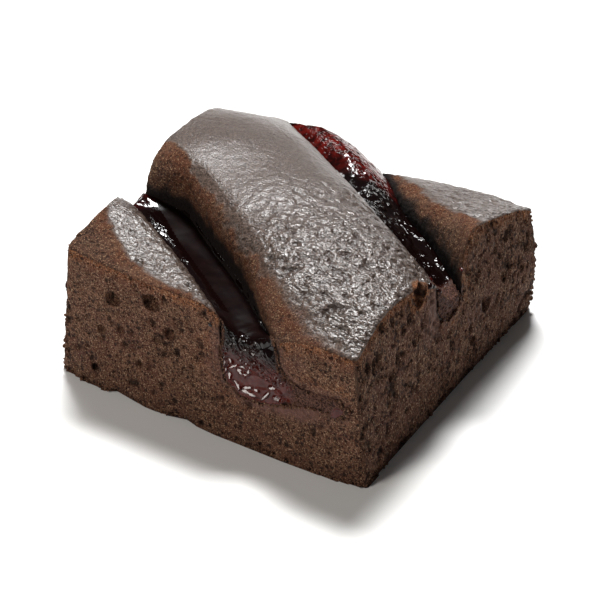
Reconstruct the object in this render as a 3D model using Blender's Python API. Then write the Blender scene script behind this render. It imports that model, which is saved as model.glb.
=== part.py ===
"""A square of chocolate brownie, cut from a slab that was baked with two troughs of dark cherry jam.

The slab rose in three long loaves with a trough of jam between each two, and the knife cut the square
slantwise to them. So the slab is made in its own axes, with s along the loaves and t across them, as a
row of cross-sections, and the four cuts of the knife then leave the square.

The square stands on z = 0 with its origin under its middle. X runs along the front cut, which opens the
left trough low down, from the left loaf to the tall loaf. Y runs along the right cut, from the tall loaf
to the right loaf. Lengths in the constants are millimetres, and the meshes are metres.
"""
import math
import random

import bmesh
import bpy
from mathutils import Matrix, Vector, noise

MM = 0.001

# The square: its base from corner to corner, and how far each cut leans in by LEAN_HEIGHT at its two
# ends. The cuts follow each other anticlockwise, seen from above.
SIDE_X = 72.0
SIDE_Y = 68.4
LEAN_HEIGHT = 30.0
LEANS = {"front": (0.2, 0.2), "right": (3.3, 1.3), "back": (0.6, 0.6), "left": (0.6, 3.2)}
CUTS = list(LEANS)

# The soft sponge spreads under the knife: a flare along the foot of each cut, turned in on the right, and
# bellies on two cuts.
FLARES = {"front": 1.7, "right": -0.5, "back": 1.8, "left": 0.7}
FLARE_HEIGHT = 12.0
BELLIES = {"right": 1.5, "left": 0.9}
BELLY_HEIGHTS = {"right": 26.0, "left": 50.0}
BELLY_STARTS = {"right": 0.3, "left": 1.0}
BELLY_ENDS = {"right": 1.0, "left": 0.2}
CORNER_CUT = 0.7
KNIFE_WOBBLE = 0.45
KNIFE_WAVE = 11.0
CUT_STEPS = 15
CUT_HEIGHTS = 9
CUT_TOP = 45.0

# The slab: the turn of its loaves from X, and the spacing of its cross-sections.
LOAF_TURN = math.radians(-34.5)
SLAB_LENGTH = 116.0
SLAB_HALF_WIDTH = 62.0
STATION_STEP = 2.0
SLAB_UNDERSIDE = -4.0

# Every run below is a row of (s, value) pairs, from the back of the slab to its front.
# The left loaf: its height, and the place, width and drop of its soft rim over the trough.
LEFT_TOP = ((-20.0, 32.4), (5.0, 29.7))
LEFT_RIM = ((-26.0, -30.6), (-14.0, -28.0), (4.0, -26.3))
LEFT_RIM_WIDTH = ((-20.0, 6.0), (-8.0, 3.6))
LEFT_RIM_DROP = ((-20.0, 3.9), (-8.0, 2.2))

# The tall loaf: its crest, its arch across and how it sinks beyond the level stretch of its crest.
CREST = 36.4
CREST_ACROSS = -3.0
ARCH = 0.012
LEVEL_BACK = -22.0
LEVEL_FRONT = 12.0
SINK_BACK = 4.8
SINK_FRONT = 2.7
SINK_RUN = 24.0
SINK_CURVES = (1.6, 1.5)
TWIST = 0.004
FRONT_DROOP = 2.3
FRONT_DROOP_REACH = 7.0
BACK_CORNER = (-49.0, 8.0)
CORNER_SINK = 3.2
CORNER_SINK_REACH = 6.5

# The tall loaf's two walls: where each meets the jam, and the width and drop of its shoulder.
MIDDLE_LEFT_FOOT = ((-29.0, -24.3), (-15.0, -17.0), (12.0, -16.7), (24.0, -18.1), (34.0, -19.1))
MIDDLE_LEFT_WIDTH = ((-29.0, 7.2), (-15.0, 4.5))
MIDDLE_LEFT_DROP = ((-29.0, 7.4), (-15.0, 5.2), (10.0, 5.2), (32.0, 2.6))
MIDDLE_RIGHT_FOOT = ((-40.0, 14.2), (-8.0, 14.8))
MIDDLE_RIGHT_WIDTH = ((-42.0, 5.0), (-28.0, 7.5))
MIDDLE_RIGHT_DROP = ((-42.0, 3.6), (-28.0, 8.6))

# The right loaf: a plane through its middle that rises to the front and falls to the right, more steeply
# beyond an edge, and its wall.
RIGHT_TOP = 31.0
RIGHT_MIDDLE = (17.1, 34.2)
RIGHT_RISE = 0.272
RIGHT_FALL = 0.2
RIGHT_EDGE = 41.0
RIGHT_EDGE_FALL = 0.024
RIGHT_FOOT = ((-20.0, 27.4), (0.0, 24.4), (8.0, 24.4), (30.0, 22.4))
RIGHT_WALL_WIDTH = 5.4

# The slow swell of all the baked tops, and the finer dimples of the tall loaf's front end. Each surface
# that swells has its own place in the noise.
PLACES = {
    "left": 3.0,
    "dimples": 5.0,
    "middle": 7.0,
    "right": 11.0,
    "floor": 19.0,
    "left jam": 23.0,
    "right jam": 29.0,
}
SWELL = 0.55
SWELL_WAVE = 15.0
DIMPLE = 0.32
DIMPLE_WAVE = 4.6
DIMPLE_RUN = (-10.0, 20.0)

# The jam. It keeps a gap to the sponge, and stands against the walls at these levels.
JAM_GAP = 0.3
LEFT_JAM_LEVEL = ((-26.0, 26.0), (-8.0, 24.4))
RIGHT_JAM_LEVEL_LEFT = ((-36.0, 27.0), (-20.0, 26.6), (0.0, 27.4), (26.0, 27.8))
RIGHT_JAM_LEVEL_RIGHT = ((-24.0, 21.4), (-12.0, 22.2))
LEFT_JAM_CROWN = -0.5
LEFT_JAM_DROOP = 3.0
LEFT_JAM_DROOP_REACH = 3.0
RIGHT_JAM_CROWN = ((-24.0, 3.4), (-8.0, 0.8), (0.0, -1.0), (10.0, -2.0))
JAM_CROWN_STEPS = 11
JAM_SWELL = 0.5
JAM_WAVE = 6.0

# The troughs' outlines, as (t, height above the floor). The left trough reaches under the tall loaf in a
# pocket that thins out to the right; its first three points hang from the rim.
LEFT_FLOOR = 10.9
LEFT_FLOOR_SWELL = 0.7
LEFT_FLOOR_WAVE = 12.0
LEFT_WALL = ((0.2, 7.1), (0.7, 2.0), (2.2, 0.0), (5.0, 0.1))
LEFT_POCKET_UNDER = ((-18.2, 1.8), (-16.0, 3.0), (-13.8, 3.7), (-11.9, 3.1), (-10.5, 4.2))
LEFT_POCKET_OVER = ((-10.2, 6.2), (-11.5, 7.8), (-14.0, 7.2), (-16.3, 7.1))
LEFT_LIP = ((1.0, 8.8), (0.3, 11.0))
LEFT_LIP_LIMIT = -18.0
RIGHT_FLOOR = ((-12.0, 14.8), (16.0, 19.4))
RIGHT_BEND = (0.2, 0.45)
RIGHT_BOWL_LEFT = ((1.4, 0.9), (3.4, 0.0))
RIGHT_BOWL_RIGHT = ((-2.6, 0.3), (-0.9, 1.2))

# Large pores that the knife opened: (cut, place along X or Y, height, radius), and how many more the
# two far cuts have. Pores on the right cut are taller than wide.
PORES = (
    ("front", -21.9, 22.4, 1.6), ("front", -12.8, 25.0, 1.9), ("front", -8.9, 19.0, 1.3),
    ("front", -25.1, 13.9, 1.1), ("front", -20.4, 15.5, 1.0), ("front", -11.6, 16.2, 0.9),
    ("front", -16.1, 9.0, 0.9), ("front", -26.7, 4.3, 1.1),
    ("right", 20.0, 16.7, 1.1), ("right", 12.5, 14.4, 1.3), ("right", 27.4, 14.5, 0.9),
    ("right", -22.6, 18.3, 1.1), ("right", 17.8, 24.0, 0.8), ("right", -4.6, 8.8, 0.9),
    ("right", 8.0, 8.0, 0.9), ("right", -11.4, 29.2, 1.2),
)
FAR_PORES = 5
PORE_RADII = (0.8, 1.6)
PORE_HEIGHTS = (4.0, 18.0)
PORE_STRETCH = 1.45
PORE_SINK = 0.25
FINE_PORE = 1.2
PORE_SEED = 12

SPONGE_COLOUR = (0.060, 0.036, 0.026, 1.0)
JAM_COLOUR = (0.090, 0.008, 0.010, 1.0)
SHARP_ANGLE = math.radians(40.0)


def ease(start, end, value):
    """Rises smoothly from 0 at start to 1 at end."""
    share = min(max((value - start) / (end - start), 0.0), 1.0)
    return share * share * (3.0 - 2.0 * share)


def mix(first, second, share):
    return first + (second - first) * share


def along(run, s):
    """The value of a run at s, easing from each of its pairs to the next."""
    if s <= run[0][0]:
        return run[0][1]
    for (before, first), (after, second) in zip(run, run[1:]):
        if s <= after:
            return mix(first, second, ease(before, after, s))
    return run[-1][1]


def fade(distance, reach):
    """1 at no distance, fading out over the reach."""
    return math.exp(-(distance / reach) ** 2)


def round_off(distance, width, drop):
    """How far a quarter-ellipse shoulder has dropped at this distance from its upright end."""
    if distance >= width:
        return 0.0
    share = 1.0 - max(distance, 0.0) / width
    return drop * (1.0 - math.sqrt(max(0.0, 1.0 - share * share)))


def swell(s, t, wave, place):
    """A smooth random swell between about -1 and 1, at this place in the noise."""
    return noise.noise(Vector((s / wave, t / wave, place)))


def square_y(s, t):
    """The place along Y of a point of the slab."""
    return s * math.sin(LOAF_TURN) + t * math.cos(LOAF_TURN)


def near_front(s, t, reach):
    """1 at the front cut, fading out behind it."""
    return fade(max(square_y(s, t) + 0.5 * SIDE_Y, 0.0), reach)


def left_loaf(s, t):
    """Height of the left loaf, which is flat and falls over a soft rim."""
    height = along(LEFT_TOP, s) + SWELL * swell(s, t, SWELL_WAVE, PLACES["left"])
    return height - round_off(along(LEFT_RIM, s) - t, along(LEFT_RIM_WIDTH, s), along(LEFT_RIM_DROP, s))


def middle_crest(s, t):
    """Height of the tall loaf before its shoulders: an arch that sinks and twists towards its ends."""
    back = SINK_BACK * (max(LEVEL_BACK - s, 0.0) / SINK_RUN) ** SINK_CURVES[0]
    front = SINK_FRONT * (max(s - LEVEL_FRONT, 0.0) / SINK_RUN) ** SINK_CURVES[1]
    across = t - CREST_ACROSS
    twist = TWIST * min(s, 0.0) * across
    back_corner = math.hypot(s - BACK_CORNER[0], t - BACK_CORNER[1])
    height = CREST - ARCH * across ** 2 + twist - back - front
    height -= CORNER_SINK * fade(back_corner, CORNER_SINK_REACH)
    height -= FRONT_DROOP * near_front(s, t, FRONT_DROOP_REACH)
    height += DIMPLE * ease(*DIMPLE_RUN, s) * swell(s, t, DIMPLE_WAVE, PLACES["dimples"])
    return height + SWELL * swell(s, t, SWELL_WAVE, PLACES["middle"])


def middle_loaf(s, t):
    """Height of the tall loaf, whose shoulders never drop below the jam beside them."""
    left_foot = along(MIDDLE_LEFT_FOOT, s)
    right_foot = along(MIDDLE_RIGHT_FOOT, s)
    left_wall = middle_crest(s, left_foot) - along(LEFT_JAM_LEVEL, s) - JAM_GAP
    right_wall = middle_crest(s, right_foot) - along(RIGHT_JAM_LEVEL_LEFT, s) - JAM_GAP
    left_drop = min(along(MIDDLE_LEFT_DROP, s), left_wall)
    right_drop = min(along(MIDDLE_RIGHT_DROP, s), right_wall)
    height = middle_crest(s, t)
    height -= round_off(t - left_foot, along(MIDDLE_LEFT_WIDTH, s), left_drop)
    return height - round_off(right_foot - t, along(MIDDLE_RIGHT_WIDTH, s), right_drop)


def right_loaf(s, t):
    """Height of the right loaf, whose wall ends at the jam."""
    height = RIGHT_TOP + RIGHT_RISE * (s - RIGHT_MIDDLE[0]) - RIGHT_FALL * (t - RIGHT_MIDDLE[1])
    height -= RIGHT_EDGE_FALL * max(t - RIGHT_EDGE, 0.0) ** 2
    height += SWELL * swell(s, t, SWELL_WAVE, PLACES["right"])
    wall = max(height - along(RIGHT_JAM_LEVEL_RIGHT, s), JAM_GAP)
    return height - round_off(t - along(RIGHT_FOOT, s), RIGHT_WALL_WIDTH, wall)


def left_trough(s):
    """The left trough's outline, from the left loaf's wall round its pocket to the tall loaf's wall."""
    rim = along(LEFT_RIM, s)
    foot = along(MIDDLE_LEFT_FOOT, s)
    lip = min(foot, LEFT_LIP_LIMIT)
    level = along(LEFT_JAM_LEVEL, s)
    floor = LEFT_FLOOR + LEFT_FLOOR_SWELL * swell(s, 0.0, LEFT_FLOOR_WAVE, PLACES["floor"])
    outline = [(rim + 0.1, level)]
    outline += [(rim + t, floor + z) for t, z in LEFT_WALL]
    outline += [(t, floor + z) for t, z in LEFT_POCKET_UNDER + LEFT_POCKET_OVER]
    outline += [(lip + t, floor + z) for t, z in LEFT_LIP]
    outline.append((foot, level + 0.2))
    return outline


def right_trough(s):
    """The right trough's outline, deep at the back and shallow where the right cut crosses it."""
    foot = along(MIDDLE_RIGHT_FOOT, s)
    wall = along(RIGHT_FOOT, s)
    floor = along(RIGHT_FLOOR, s)
    level = along(RIGHT_JAM_LEVEL_LEFT, s)
    outline = [(foot, level), (foot + RIGHT_BEND[0], mix(floor, level, RIGHT_BEND[1]))]
    outline += [(foot + t, floor + z) for t, z in RIGHT_BOWL_LEFT]
    outline += [(wall + t, floor + z) for t, z in RIGHT_BOWL_RIGHT]
    outline.append((wall, along(RIGHT_JAM_LEVEL_RIGHT, s)))
    return outline


def top_run(height, s, start, end, steps, dense=None):
    """Points along a loaf's top, from start to end, closer together at the dense end."""
    points = []
    for step in range(steps + 1):
        share = step / steps
        if dense == "start":
            share = 1.0 - math.cos(0.5 * math.pi * share)
        elif dense == "end":
            share = math.sin(0.5 * math.pi * share)
        t = mix(start, end, share)
        points.append((t, height(s, t)))
    return points


def sponge_section(s):
    """One cross-section of the slab's sponge: over its tops and through its troughs, then underneath."""
    far = SLAB_HALF_WIDTH
    rim = along(LEFT_RIM, s)
    rim_start = rim - along(LEFT_RIM_WIDTH, s)
    left_foot = along(MIDDLE_LEFT_FOOT, s)
    left_shoulder = left_foot + along(MIDDLE_LEFT_WIDTH, s)
    right_foot = along(MIDDLE_RIGHT_FOOT, s)
    right_shoulder = right_foot - along(MIDDLE_RIGHT_WIDTH, s)
    wall = along(RIGHT_FOOT, s)
    wall_end = wall + RIGHT_WALL_WIDTH
    points = top_run(left_loaf, s, -far, rim_start, 12)
    points += top_run(left_loaf, s, rim_start, rim, 5, "end")[1:]
    points += left_trough(s)
    points += top_run(middle_loaf, s, left_foot, left_shoulder, 6, "start")
    points += top_run(middle_loaf, s, left_shoulder, right_shoulder, 9)[1:]
    points += top_run(middle_loaf, s, right_shoulder, right_foot, 7, "end")[1:]
    points += right_trough(s)[1:-1]
    points += top_run(right_loaf, s, wall, wall_end, 6, "start")
    points += top_run(right_loaf, s, wall_end, far, 12)[1:]
    points += [(far, SLAB_UNDERSIDE), (-far, SLAB_UNDERSIDE)]
    return points


def moved_in(outline, gap):
    """A trough's outline moved in by the gap, square to the line through each point's neighbours."""
    last = len(outline) - 1
    moved = [(outline[0][0] + gap, outline[0][1])]
    for number in range(1, last):
        run = outline[number + 1][0] - outline[number - 1][0]
        rise = outline[number + 1][1] - outline[number - 1][1]
        length = math.hypot(run, rise)
        t, z = outline[number]
        moved.append((t - gap * rise / length, z + gap * run / length))
    moved.append((outline[last][0] - gap, outline[last][1]))
    return moved


def jam_section(trough, crown, s, place):
    """One cross-section of a run of jam: the trough's outline moved in, closed by a wavy top."""
    points = moved_in(trough, JAM_GAP)
    left_t, left_z = points[0]
    right_t, right_z = points[-1]
    for step in range(1, JAM_CROWN_STEPS):
        share = step / JAM_CROWN_STEPS
        t = mix(right_t, left_t, share)
        rise = crown(s, t) + JAM_SWELL * swell(s, t, JAM_WAVE, PLACES[place])
        points.append((t, mix(right_z, left_z, share) + rise * math.sin(math.pi * share)))
    return points


def left_crown(s, t):
    """The left jam sags between its walls and droops where the front cut opened it."""
    return LEFT_JAM_CROWN - LEFT_JAM_DROOP * near_front(s, t, LEFT_JAM_DROOP_REACH)


def right_crown(s, t):
    """The right jam is heaped at the back and sags towards the right cut."""
    return along(RIGHT_JAM_CROWN, s)


def left_jam_section(s):
    return jam_section(left_trough(s), left_crown, s, "left jam")


def right_jam_section(s):
    return jam_section(right_trough(s), right_crown, s, "right jam")


def mesh_object(name, shape):
    """An object from a finished shape, with its faces turned outwards."""
    bmesh.ops.recalc_face_normals(shape, faces=shape.faces)
    mesh = bpy.data.meshes.new(name)
    shape.to_mesh(mesh)
    shape.free()
    piece = bpy.data.objects.new(name, mesh)
    bpy.context.collection.objects.link(piece)
    return piece


def skin_rows(name, rows):
    """A closed mesh over rows of points that each run once round it, with flat ends."""
    shape = bmesh.new()
    rows = [[shape.verts.new(point) for point in row] for row in rows]
    around = len(rows[0])
    for first, second in zip(rows, rows[1:]):
        for place in range(around):
            after = (place + 1) % around
            shape.faces.new((first[place], second[place], second[after], first[after]))
    shape.faces.new(rows[0])
    shape.faces.new(reversed(rows[-1]))
    return mesh_object(name, shape)


def slab_run(name, section):
    """A run of the slab through its cross-sections, turned to the loaves' direction."""
    count = round(SLAB_LENGTH / STATION_STEP)
    rows = []
    for number in range(count + 1):
        s = SLAB_LENGTH * (number / count - 0.5)
        row = []
        for t, z in section(s):
            x = s * math.cos(LOAF_TURN) - t * math.sin(LOAF_TURN)
            row.append(Vector((x, square_y(s, t), z)) * MM)
        rows.append(row)
    return skin_rows(name, rows)


def cut_frame(cut):
    """Where a cut starts on the ground, its direction, its way inwards and its length."""
    half_x = 0.5 * SIDE_X
    half_y = 0.5 * SIDE_Y
    corners = ((-half_x, -half_y), (half_x, -half_y), (half_x, half_y), (-half_x, half_y))
    number = CUTS.index(cut)
    first = Vector(corners[number])
    second = Vector(corners[(number + 1) % 4])
    direction = (second - first).normalized()
    return first, direction, Vector((-direction.y, direction.x)), (second - first).length


def cut_span(cut, z):
    """How far along its ground line a cut starts and ends at this height, between its two neighbours."""
    number = CUTS.index(cut)
    rise = z / LEAN_HEIGHT
    start = LEANS[CUTS[number - 1]][1] * rise + CORNER_CUT
    end = LEANS[CUTS[(number + 1) % 4]][0] * rise + CORNER_CUT
    return start, cut_frame(cut)[3] - end


def cut_point(cut, share, z):
    """A point on a cut, at this share of its length and this height."""
    first, direction, inward, _ = cut_frame(cut)
    number = CUTS.index(cut)
    rise = z / LEAN_HEIGHT
    place = first + direction * mix(*cut_span(cut, z), share)
    inset = mix(*LEANS[cut], share) * rise
    inset -= FLARES[cut] * ease(FLARE_HEIGHT, 0.0, z) * (1.0 - (2.0 * share - 1.0) ** 6)
    if cut in BELLIES and z < BELLY_HEIGHTS[cut]:
        bulge = math.sin(math.pi * z / BELLY_HEIGHTS[cut]) * ease(BELLY_STARTS[cut], BELLY_ENDS[cut], share)
        inset -= BELLIES[cut] * bulge
    wave = noise.noise(Vector((place.x / KNIFE_WAVE, place.y / KNIFE_WAVE, z / KNIFE_WAVE + 5.0 * number)))
    place += inward * (inset + KNIFE_WOBBLE * wave * math.sin(math.pi * share))
    return Vector((place.x, place.y, z))


def knife_block():
    """The space between the four cuts: what lies outside it is cut away."""
    rows = []
    for level in range(CUT_HEIGHTS + 1):
        z = CUT_TOP * level / CUT_HEIGHTS
        shares = [step / (CUT_STEPS - 1) for step in range(CUT_STEPS)]
        rows.append([cut_point(cut, share, z) * MM for cut in CUTS for share in shares])
    return cutter(skin_rows("knife_block", rows))


def far_pores():
    """More pores for the two far cuts, by a seeded draw, each in its own stretch of the cut."""
    draw = random.Random(PORE_SEED)
    pores = []
    for cut, side in (("back", SIDE_X), ("left", SIDE_Y)):
        for number in range(FAR_PORES):
            place = side * ((number + draw.uniform(0.35, 0.65)) / FAR_PORES - 0.5)
            pores.append((cut, place, draw.uniform(*PORE_HEIGHTS), draw.uniform(*PORE_RADII)))
    return pores


def pore_cutter():
    """One bubble for each large pore, its middle a little inside the cut."""
    shape = bmesh.new()
    for cut, place, height, radius in list(PORES) + far_pores():
        first, direction, inward, _ = cut_frame(cut)
        distance = abs(place - first.dot(Vector((abs(direction.x), abs(direction.y)))))
        start, end = cut_span(cut, height)
        middle = cut_point(cut, (distance - start) / (end - start), height)
        middle.x += inward.x * PORE_SINK * radius
        middle.y += inward.y * PORE_SINK * radius
        fineness = 1 if radius < FINE_PORE else 2
        bubble = bmesh.ops.create_icosphere(shape, subdivisions=fineness, radius=radius * MM)
        stretch = PORE_STRETCH if cut == "right" else 1.0
        bmesh.ops.transform(
            shape,
            verts=bubble["verts"],
            matrix=Matrix.Translation(middle * MM) @ Matrix.Diagonal((1.0, 1.0, stretch, 1.0)),
        )
    return cutter(mesh_object("pore_bubbles", shape))


def cutter(piece):
    """Marks a piece as a guide that only cuts others."""
    piece.hide_render = True
    piece.display_type = "WIRE"
    return piece


def cut_with(piece, tool, operation):
    cut = piece.modifiers.new(tool.name, "BOOLEAN")
    cut.operation = operation
    cut.solver = "EXACT"
    cut.object = tool


def material(name, colour, roughness):
    """A plain surface of one colour."""
    surface = bpy.data.materials.new(name)
    surface.use_nodes = True
    shader = surface.node_tree.nodes["Principled BSDF"]
    shader.inputs["Base Color"].default_value = colour
    shader.inputs["Roughness"].default_value = roughness
    shader.inputs["Metallic"].default_value = 0.0
    surface.diffuse_color = colour
    return surface


def cut_piece(name, section, surface, block):
    """A run of the slab in its material, cut to the square and shaded smooth."""
    piece = slab_run(name, section)
    piece.data.materials.append(surface)
    piece.data.shade_smooth()
    piece.data.set_sharp_from_angle(angle=SHARP_ANGLE)
    cut_with(piece, block, "INTERSECT")
    return piece


def main():
    for item in list(bpy.data.objects):
        bpy.data.objects.remove(item)
    baked = material("sponge", SPONGE_COLOUR, 0.75)
    jam = material("jam", JAM_COLOUR, 0.12)
    block = knife_block()
    sponge = cut_piece("sponge", sponge_section, baked, block)
    cut_with(sponge, pore_cutter(), "DIFFERENCE")
    cut_piece("jam_left", left_jam_section, jam, block)
    cut_piece("jam_right", right_jam_section, jam, block)


main()
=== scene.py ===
"""The looks of a square of chocolate brownie with two runs of cherry jam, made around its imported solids.

Lengths in the settings are millimetres. The meshes are metres, in the frame of the solids: X along the
front cut, Y along the right cut, Z up from the flat underside.
"""
import math
import random

import bmesh
import bpy
import numpy as np
from mathutils import Matrix, Vector, noise
from mathutils.bvhtree import BVHTree
from mathutils.kdtree import KDTree


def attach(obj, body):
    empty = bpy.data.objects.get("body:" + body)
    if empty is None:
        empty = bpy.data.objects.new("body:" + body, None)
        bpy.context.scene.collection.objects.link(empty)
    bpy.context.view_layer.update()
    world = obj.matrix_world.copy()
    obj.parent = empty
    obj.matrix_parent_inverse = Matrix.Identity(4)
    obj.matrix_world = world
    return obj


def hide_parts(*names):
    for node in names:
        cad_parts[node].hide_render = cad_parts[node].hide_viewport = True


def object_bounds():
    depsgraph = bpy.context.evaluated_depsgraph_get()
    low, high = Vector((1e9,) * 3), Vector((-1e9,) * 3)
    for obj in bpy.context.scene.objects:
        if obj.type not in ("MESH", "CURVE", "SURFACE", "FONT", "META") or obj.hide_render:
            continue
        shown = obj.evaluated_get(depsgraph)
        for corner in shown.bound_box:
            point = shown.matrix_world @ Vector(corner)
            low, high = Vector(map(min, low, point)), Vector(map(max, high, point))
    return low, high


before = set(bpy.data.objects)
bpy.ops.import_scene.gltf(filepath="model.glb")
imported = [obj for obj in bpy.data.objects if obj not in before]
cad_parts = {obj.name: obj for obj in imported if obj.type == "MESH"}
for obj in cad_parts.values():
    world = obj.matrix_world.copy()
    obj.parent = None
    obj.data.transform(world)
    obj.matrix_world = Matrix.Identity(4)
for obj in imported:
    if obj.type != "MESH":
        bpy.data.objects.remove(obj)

bl_info = {
    "name": "Chocolate brownie square",
    "version": (1, 0, 0),
    "blender": (4, 5, 0),
    "location": "3D View > Sidebar > Brownie",
    "description": "A cut square of chocolate sponge with a satin baked skin and two runs of cherry jam",
    "category": "Add Mesh",
}

MM = 0.001
CAD_BOX = [list(corner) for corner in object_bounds()]
LOW, HIGH = [np.array(corner) for corner in CAD_BOX]

# The loaves and the jam run slantwise through the square, at this turn from X.
LOAF_TURN = math.radians(-34.5)
ALONG = np.array((math.cos(LOAF_TURN), math.sin(LOAF_TURN), 0.0))
ACROSS = np.array((-math.sin(LOAF_TURN), math.cos(LOAF_TURN), 0.0))

# The four cuts: the way out of each, its distance from the middle on the ground, the direction along it, half
# its length, and how far it leans in by LEAN_HEIGHT at its two ends.
HALF_X, HALF_Y = 36.0, 34.2
LEAN_HEIGHT = 30.0
CUTS = {
    "front": (Vector((0, -1, 0)), HALF_Y, Vector((1, 0, 0)), HALF_X, (0.2, 0.2)),
    "right": (Vector((1, 0, 0)), HALF_X, Vector((0, 1, 0)), HALF_Y, (3.3, 1.3)),
    "back": (Vector((0, 1, 0)), HALF_Y, Vector((-1, 0, 0)), HALF_X, (0.6, 0.6)),
    "left": (Vector((-1, 0, 0)), HALF_X, Vector((0, -1, 0)), HALF_Y, (0.6, 3.2)),
}
CUT_DEPTH = 2.6
SKIN, CUT, BASE = 0, 1, 2
SKIN_LIMIT = math.radians(42.0)

# Where the satin film ends on each loaf. On the left loaf, as places along X and Y; on the tall loaf's left
# side and the right loaf's wall, as places along and across the loaves.
FILM_LEFT = (
    (-34.8, -18.2), (-30.3, -22.4), (-26.4, -25.6), (-20.7, -29.6), (-10.4, -31.9), (-1.5, -33.5), (5.0, -34.6)
)
FILM_MIDDLE = (
    (-33.0, -17.4), (-25.6, -15.5), (-8.0, -15.2), (7.0, -15.9), (22.0, -15.2), (37.0, -13.0), (48.0, -10.5)
)
FILM_RIGHT = ((-4.0, 29.5), (5.0, 29.0), (16.0, 30.0), (26.0, 28.0))
LEFT_LOAF_END, RIGHT_LOAF_START = -25.5, 20.0

# How far up the walls beside the jam, along the loaves, the sponge is painted dark: painted shade of the deep troughs,
# with some real soaking with jam.
SOAK_SHADE_LEFT = ((-30.0, 2.4), (-14.0, 4.4), (2.0, 5.4), (14.0, 3.6), (24.0, 1.0))
SOAK_SHADE_RIGHT = ((-30.0, 1.2), (-10.0, 2.6), (0.0, 4.6), (24.0, 5.0))

# Where the knife smeared jam over the crumb: the middle, size and strength of each soft patch.
SMEARS = (
    ((16.5, -34.4, 11.4), (4.6, 2.5, 1.7), 0.9), ((10.5, -34.4, 10.2), (4.0, 2.5, 1.3), 0.6),
    ((22.5, -34.4, 12.4), (4.0, 2.5, 2.0), 0.7),
    ((0.8, -34.4, 14.4), (2.4, 2.0, 4.5), 0.55), ((19.5, -34.4, 23.4), (3.0, 2.0, 2.2), 0.4),
    ((35.0, -6.2, 23.5), (3.0, 3.6, 6.5), 0.95), ((35.0, 9.5, 14.5), (3.0, 5.5, 3.6), 0.45),
)

# The relief of the sponge, in millimetres: the dents in the film, the grain of the matt walls, how far the
# crumb is lifted along the jam, and how far it is worn back along the foot.
DENT_DEPTH, WALL_GRAIN, SEAM_LIFT, FOOT_WEAR = 0.48, 0.16, 0.4, 0.8

# The share of the faces that nothing shows that is kept, how near the jam they lie, and how far from the
# middle of the square, in millimetres.
HIDDEN_SHARE, HIDDEN_REACH, HIDDEN_HALF = 0.06, 0.36, 33.0

# The smallest and largest radius of the fine pores and of the open ones, in millimetres.
FINE_RADII, OPEN_RADII = (0.3, 0.52), (0.52, 0.95)

# The bubble that the right cut opened under the skin, as a place and a radius, and the bites out of the foot
# of the front cut, as their places along Y and Z, and each one's place along X and radius.
EDGE_BUBBLES = (((34.1, -11.0, 30.5), 2.5),)
BITE_LINE = (-HALF_Y - 2.2, -0.3)
FOOT_BITES = ((-27.0, 1.6), (-20.8, 2.4), (-18.2, 1.8), (-6.2, 2.5), (-3.4, 1.9), (9.5, 1.5), (15.0, 1.1), (24.5, 1.7))

# Folds of jam on the front cut, as lines of places along X and heights. Each stretch of a fold is a small
# flat face that leans back like a shelf, by FOLD_LEAN along X and up, steps out of the jam by FOLD_OUT, and is
# wider in its middle.
FOLDS = (
    ((4.0, 20.9), (4.9, 19.5), (6.2, 18.5)), ((4.3, 20.2), (4.1, 18.5), (4.2, 16.8), (4.8, 15.9)),
    ((5.5, 17.4), (7.4, 18.4), (9.3, 18.5)), ((9.7, 18.2), (9.7, 17.2)), ((9.6, 17.0), (8.4, 16.8), (7.0, 17.2)),
    ((5.0, 15.8), (5.7, 14.7)), ((6.3, 14.3), (8.2, 12.9), (9.5, 12.8), (11.3, 12.6)),
    ((8.7, 13.9), (10.7, 14.5), (12.0, 14.0)), ((14.3, 16.1), (16.1, 16.2), (17.2, 15.7)),
    ((13.0, 12.9), (14.1, 14.3)), ((15.2, 13.9), (16.9, 13.7), (17.9, 14.8)),
)
FOLD_LEAN = (-0.054, -0.811)
FOLD_OUT, FOLD_WIDTH, FOLD_TAPER = 0.3, 0.3, 2.4

# Short dashes of wet jam that run slantwise down the top of the same cut: how many, the line they keep to,
# how far they stray from it, their half width, and their turn in degrees.
DASHES, DASH_LINE, DASH_STRAY, DASH_WIDTH, DASH_TURN = 44, ((3.4, 21.6), (19.0, 17.6)), 0.9, 0.26, -32.0

# The bare spot of jam at the tip of the smear on the front cut, as a place along X and a height.
BARE_SPOT = (29.4, 15.6)

# The line of sugar along the top of the same cut: the place where it starts, how steeply it falls to the
# right, and how far it fades out.
SPRAY_START, SPRAY_FALL, SPRAY_REACH = (2.5, 24.2), 0.28, 2.0

# Where sugar ripples glint on the left run of jam: the middle along and across the loaves, and the reach.
GLINTS = (((-17.0, -24.4), (3.2, 0.9)), ((-11.0, -23.6), (3.4, 0.8)), ((-2.5, -23.8), (1.6, 0.9)))

# The way that the fine ripples of sugar run: down the loaves and down the front cut.
SUGAR_TURN = (0.0, math.radians(32.0), math.radians(-22.0))

# How the jam's surface falls away from the tall loaf: how steeply, over how many millimetres, and from where
# across the loaves in each run.
FALL, FALL_REACH, FALL_LEFT, FALL_RIGHT = 0.2, 6.0, -23.5, 19.5

# Where the left run of jam lies still and deep in shade and gets the shaded copy of the jam, as painted shade: beyond
# STILL_ACROSS across the loaves, from STILL_FRONT along Y, and in the strip along the front cut, as a place along Y
# and a height.
STILL_ACROSS, STILL_FRONT, STILL_STRIP = -22.4, -31.0, (-28.0, 24.0)
STILL_LEVEL = 0.75

# How the jam's cut ends are rounded at the top, lifted, and sunk where they meet the crumb, in millimetres.
FRONT_ROLL = 2.2
FRONT_SINK, END_SINK = 0.2, 0.1
FRONT_LIFT, FRONT_LIFT_REACH = 2.0, 3.0


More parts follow.
